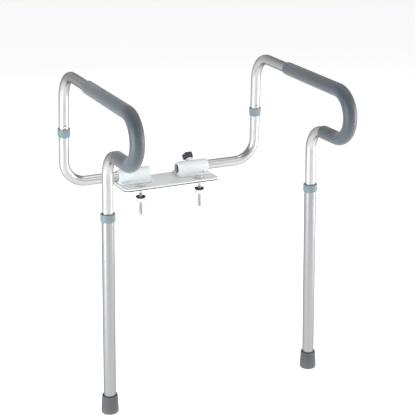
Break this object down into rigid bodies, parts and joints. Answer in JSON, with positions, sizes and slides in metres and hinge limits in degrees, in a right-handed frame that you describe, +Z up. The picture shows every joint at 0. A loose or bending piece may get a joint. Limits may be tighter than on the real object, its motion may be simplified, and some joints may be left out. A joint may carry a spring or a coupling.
{
  "type": "toilet safety frame",
  "caption": "Toilet safety frame: bent aluminium arms with foam grips on height-adjustable legs, plugged on to a width-adjustable bracket that bolts under a toilet seat.",
  "frame": {"origin": "on the floor, under the middle of the frame's bounding box", "axes": "+Z up, +X to the sitting person's left, -Y the way the sitting person faces"},
  "size_m": [0.5178, 0.4692, 0.6871],
  "materials": {
    "button": "nickel plated, worn",
    "collar": "matt",
    "foot": "matt",
    "grip": "soft closed-cell foam",
    "knob": "moulded",
    "nut": "moulded",
    "plate": "powder coated",
    "rubber": "matt",
    "sleeve": "moulded",
    "steel": "zinc plated",
    "tube": "satin anodised"
  },
  "bodies": {
    "bracket": {"left_bolt_seal": "rubber", "left_bolt_washer": "steel", "left_bracket_sleeve": "sleeve", "left_fixing_bolt": "steel", "left_front_sleeve_screw": "steel", "left_rear_sleeve_screw": "steel", "mounting_plate": "plate", "plate_pad": "rubber", "right_bolt_seal": "rubber", "right_bolt_washer": "steel", "right_bracket_sleeve": "sleeve", "right_fixing_bolt": "steel", "right_front_sleeve_screw": "steel", "right_rear_sleeve_screw": "steel"},
    "left_rear": {"left_rear_collar": "collar", "left_rear_snap_spring": "steel", "left_rear_tube": "tube", "left_tube_plug": "knob"},
    "left_rear_button": {"left_rear_snap_button": "button"},
    "left_arm": {"left_arm_tube": "tube", "left_hand_grip": "grip", "left_leg_snap_spring": "steel"},
    "left_leg_button": {"left_leg_snap_button": "button"},
    "left_leg": {"left_foot": "foot", "left_foot_washer": "steel", "left_leg_collar": "collar", "left_leg_tube": "tube"},
    "left_knob": {"left_clamp_knob": "knob"},
    "left_wing_nut": {"left_wing_nut": "nut"},
    "right_rear": {"right_rear_collar": "collar", "right_rear_snap_spring": "steel", "right_rear_tube": "tube", "right_tube_plug": "knob"},
    "right_rear_button": {"right_rear_snap_button": "button"},
    "right_arm": {"right_arm_tube": "tube", "right_hand_grip": "grip", "right_leg_snap_spring": "steel"},
    "right_leg_button": {"right_leg_snap_button": "button"},
    "right_leg": {"right_foot": "foot", "right_foot_washer": "steel", "right_leg_collar": "collar", "right_leg_tube": "tube"},
    "right_knob": {"right_clamp_knob": "knob"},
    "right_wing_nut": {"right_wing_nut": "nut"}
  },
  "joints": [
    {"name": "left_width_slide", "type": "slide", "parent": "bracket", "child": "left_rear", "axis": [1, 0, 0], "range_m": [-0.025, 0.02]},
    {"name": "left_rear_button_push", "type": "slide", "parent": "left_rear", "child": "left_rear_button", "axis": [0.0113, 0.9979, 0.0636], "range_m": [0, 0.0042], "stiffness_N_per_m": 400, "springref_m": -0.004, "deforming": ["left_rear_snap_spring"]},
    {"name": "left_arm_lift", "type": "slide", "parent": "left_rear", "child": "left_arm", "axis": [-0.0208, -0.0633, 0.9978], "range_m": [0, 0.12]},
    {"name": "left_leg_button_push", "type": "slide", "parent": "left_arm", "child": "left_leg_button", "axis": [-0.0126, -0.9999, -0.0003], "range_m": [0, 0.0042], "stiffness_N_per_m": 400, "springref_m": -0.004, "deforming": ["left_leg_snap_spring"]},
    {"name": "left_leg_height", "type": "slide", "parent": "left_arm", "child": "left_leg", "axis": [0.0201, 0, -0.9998], "range_m": [-0.0381, 0.0762]},
    {"name": "left_knob_turn", "type": "hinge", "parent": "bracket", "child": "left_knob", "pos_m": [0.0725, 0.20103, 0.42706], "axis": [0, 0.7071, 0.7071], "continuous": true},
    {"name": "left_wing_nut_turn", "type": "hinge", "parent": "bracket", "child": "left_wing_nut", "pos_m": [0.0725, 0.15758, 0.377], "axis": [0, 0, 1], "continuous": true},
    {"name": "right_width_slide", "type": "slide", "parent": "bracket", "child": "right_rear", "axis": [-1, 0, 0], "range_m": [-0.025, 0.02]},
    {"name": "right_rear_button_push", "type": "slide", "parent": "right_rear", "child": "right_rear_button", "axis": [-0.0113, 0.9979, 0.0636], "range_m": [0, 0.0042], "stiffness_N_per_m": 400, "springref_m": -0.004, "deforming": ["right_rear_snap_spring"]},
    {"name": "right_arm_lift", "type": "slide", "parent": "right_rear", "child": "right_arm", "axis": [0.0208, -0.0633, 0.9978], "range_m": [0, 0.12]},
    {"name": "right_leg_button_push", "type": "slide", "parent": "right_arm", "child": "right_leg_button", "axis": [0.0126, -0.9999, -0.0003], "range_m": [0, 0.0042], "stiffness_N_per_m": 400, "springref_m": -0.004, "deforming": ["right_leg_snap_spring"]},
    {"name": "right_leg_height", "type": "slide", "parent": "right_arm", "child": "right_leg", "axis": [-0.0201, 0, -0.9998], "range_m": [-0.0381, 0.0762]},
    {"name": "right_knob_turn", "type": "hinge", "parent": "bracket", "child": "right_knob", "pos_m": [-0.0725, 0.20103, 0.42706], "axis": [0, 0.7071, 0.7071], "continuous": true},
    {"name": "right_wing_nut_turn", "type": "hinge", "parent": "bracket", "child": "right_wing_nut", "pos_m": [-0.0725, 0.15758, 0.377], "axis": [0, 0, 1], "continuous": true}
  ]
}
